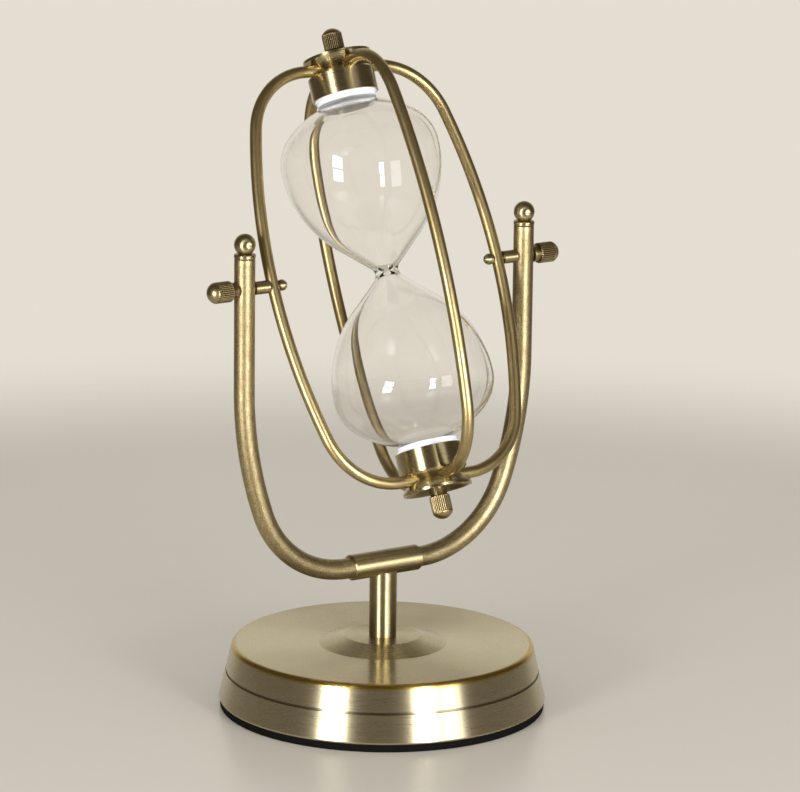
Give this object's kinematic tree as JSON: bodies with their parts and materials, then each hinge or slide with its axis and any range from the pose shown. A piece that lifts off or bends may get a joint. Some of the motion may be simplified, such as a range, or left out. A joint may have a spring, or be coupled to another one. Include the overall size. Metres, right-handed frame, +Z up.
{
  "type": "hourglass",
  "caption": "Empty hourglass in a brass cage of bent rods that swings end over end between clamp screws on a U-shaped yoke, on a round weighted base.",
  "frame": {"origin": "middle of the underside of the base pad, on the surface it stands on", "axes": "+Z up; +X along the cage's pivot axis towards the right clamp screw; -Y is the front"},
  "size_m": [0.1656, 0.1386, 0.2695],
  "materials": {
    "satin_brass": "satin, brushed round",
    "antique_brass": "polished, darkened in the hollows",
    "patinated_brass": "dull, mottled",
    "knurled_brass": "fluted grip, worn",
    "clear_glass": "clear, thin blown",
    "white_foam": "soft, matte",
    "black_foam": "matte",
    "iron": "rough cast",
    "steel": "plain"
  },
  "bodies": {
    "stand": {"base_pad": "black_foam", "base_shell": "satin_brass", "base_weight": "iron", "base_washer": "steel", "base_nut": "steel", "post_boss": "antique_brass", "post": "antique_brass", "yoke_sleeve": "antique_brass", "yoke_bar": "patinated_brass", "finial_left": "antique_brass", "finial_right": "antique_brass", "pivot_spacer_left": "antique_brass", "pivot_spacer_right": "antique_brass"},
    "cage": {"glass": "clear_glass", "cage_rod_left": "antique_brass", "cage_rod_right": "antique_brass", "cage_rod_front": "antique_brass", "cage_rod_back": "antique_brass", "hub_cup_top": "antique_brass", "hub_cup_bottom": "antique_brass", "hub_flange_top": "antique_brass", "hub_flange_bottom": "antique_brass", "hub_stud_top": "steel", "hub_stud_bottom": "steel", "gasket_top": "white_foam", "gasket_bottom": "white_foam"},
    "left_clamp": {"pivot_screw_left": "knurled_brass", "pivot_cap_left": "antique_brass"},
    "right_clamp": {"pivot_screw_right": "knurled_brass", "pivot_cap_right": "antique_brass"},
    "top_nut": {"thumb_nut_top": "knurled_brass"},
    "bottom_nut": {"thumb_nut_bottom": "knurled_brass"}
  },
  "joints": [
    {"name": "cage_turn", "type": "hinge", "parent": "stand", "child": "cage", "pos_m": [0, 0, 0.1779], "axis": [1, 0, 0], "continuous": true},
    {"name": "left_clamp_turn", "type": "hinge", "parent": "stand", "child": "left_clamp", "pos_m": [-0.0765, 0, 0.1779], "axis": [-1, 0, 0], "range_deg": [0, 270]},
    {"name": "right_clamp_turn", "type": "hinge", "parent": "stand", "child": "right_clamp", "pos_m": [0.0765, 0, 0.1779], "axis": [1, 0, 0], "range_deg": [0, 270]},
    {"name": "top_nut_turn", "type": "hinge", "parent": "cage", "child": "top_nut", "pos_m": [0, 0.03985, 0.26337], "axis": [0, 0.4226, 0.9063], "range_deg": [0, 270]},
    {"name": "bottom_nut_turn", "type": "hinge", "parent": "cage", "child": "bottom_nut", "pos_m": [0, -0.03985, 0.09244], "axis": [0, -0.4226, -0.9063], "range_deg": [0, 270]}
  ]
}
